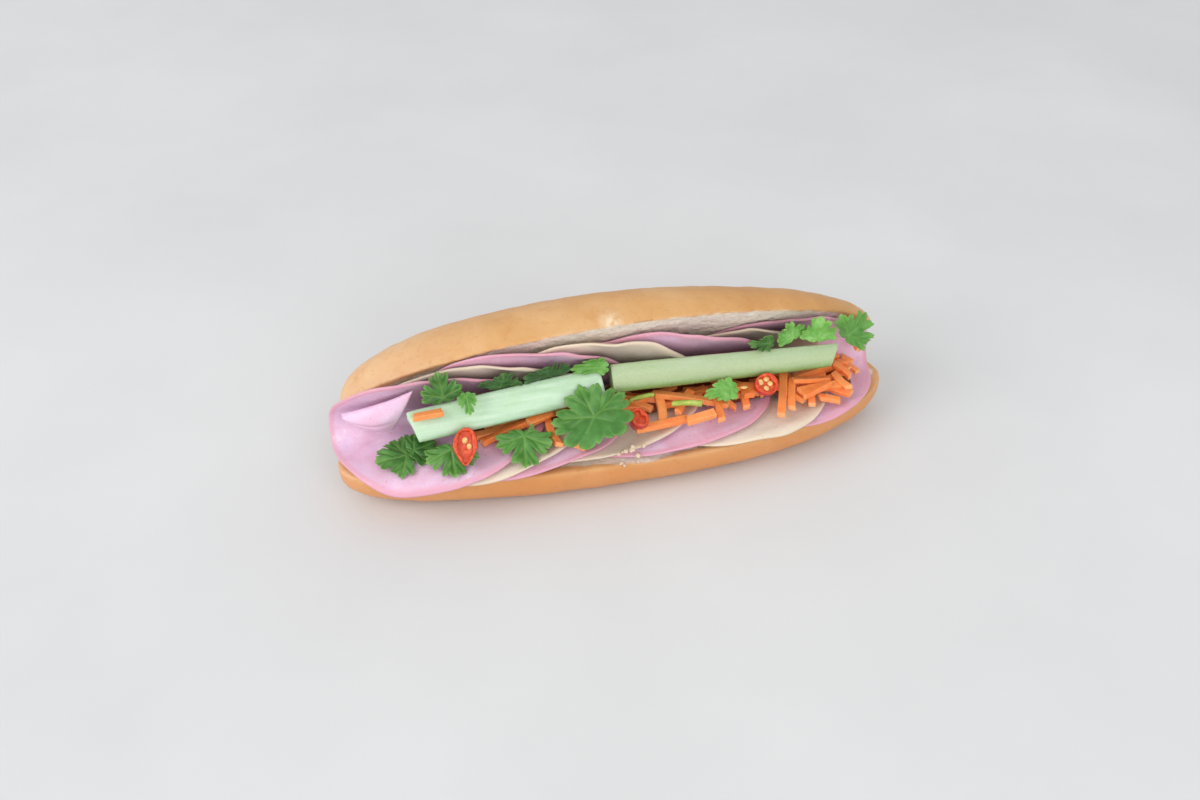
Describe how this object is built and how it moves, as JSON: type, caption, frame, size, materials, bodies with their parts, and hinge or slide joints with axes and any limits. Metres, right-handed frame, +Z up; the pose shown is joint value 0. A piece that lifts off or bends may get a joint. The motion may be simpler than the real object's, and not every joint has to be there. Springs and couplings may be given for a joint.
{
  "type": "banh mi sandwich",
  "caption": "Crusty roll cut open along its front and filled with folded ham and pork roll slices, cucumber batons, carrot shreds, chilli rings and coriander leaves.",
  "frame": {"origin": "middle of the object's box, on the plane it rests on", "axes": "+X along the roll, -Y out of its open front, +Z up"},
  "size_m": [0.228, 0.071, 0.0704],
  "materials": {
    "bread": "golden crust, pale open crumb on the cut faces",
    "ham": "moist, lightly mottled",
    "pork_roll": "moist, fine grained",
    "carrot": "moist cut faces",
    "cucumber": "moist pale flesh, greener skin below",
    "chilli": "glossy skin, cream seeds",
    "coriander": "satin leaf with veins"
  },
  "bodies": {
    "root": {"bread_roll": "bread", "ham_slice_1": "ham", "pork_roll_slice_1": "pork_roll", "ham_slice_2": "ham", "pork_roll_slice_2": "pork_roll", "ham_slice_3": "ham", "pork_roll_slice_3": "pork_roll", "ham_slice_4": "ham", "ham_flap": "ham", "carrot_heap": "carrot", "carrot_shred_front": "carrot", "carrot_shred_low": "carrot", "coriander_leaf_01": "coriander", "coriander_leaf_02": "coriander", "coriander_leaf_03": "coriander", "coriander_leaf_04": "coriander", "coriander_leaf_05": "coriander", "coriander_stem_1": "coriander", "coriander_stem_2": "coriander", "chilli_slice_1": "chilli", "chilli_slice_2": "chilli", "chilli_slice_3": "chilli", "cucumber_baton_left": "cucumber", "cucumber_baton_right": "cucumber", "carrot_shred_on_cucumber": "carrot", "coriander_leaf_06": "coriander", "coriander_leaf_07": "coriander", "coriander_leaf_08": "coriander", "coriander_leaf_09": "coriander", "coriander_leaf_10": "coriander", "coriander_leaf_11": "coriander", "coriander_leaf_12": "coriander", "coriander_leaf_13": "coriander", "coriander_leaf_14": "coriander", "coriander_leaf_15": "coriander"}
  },
  "joints": []
}
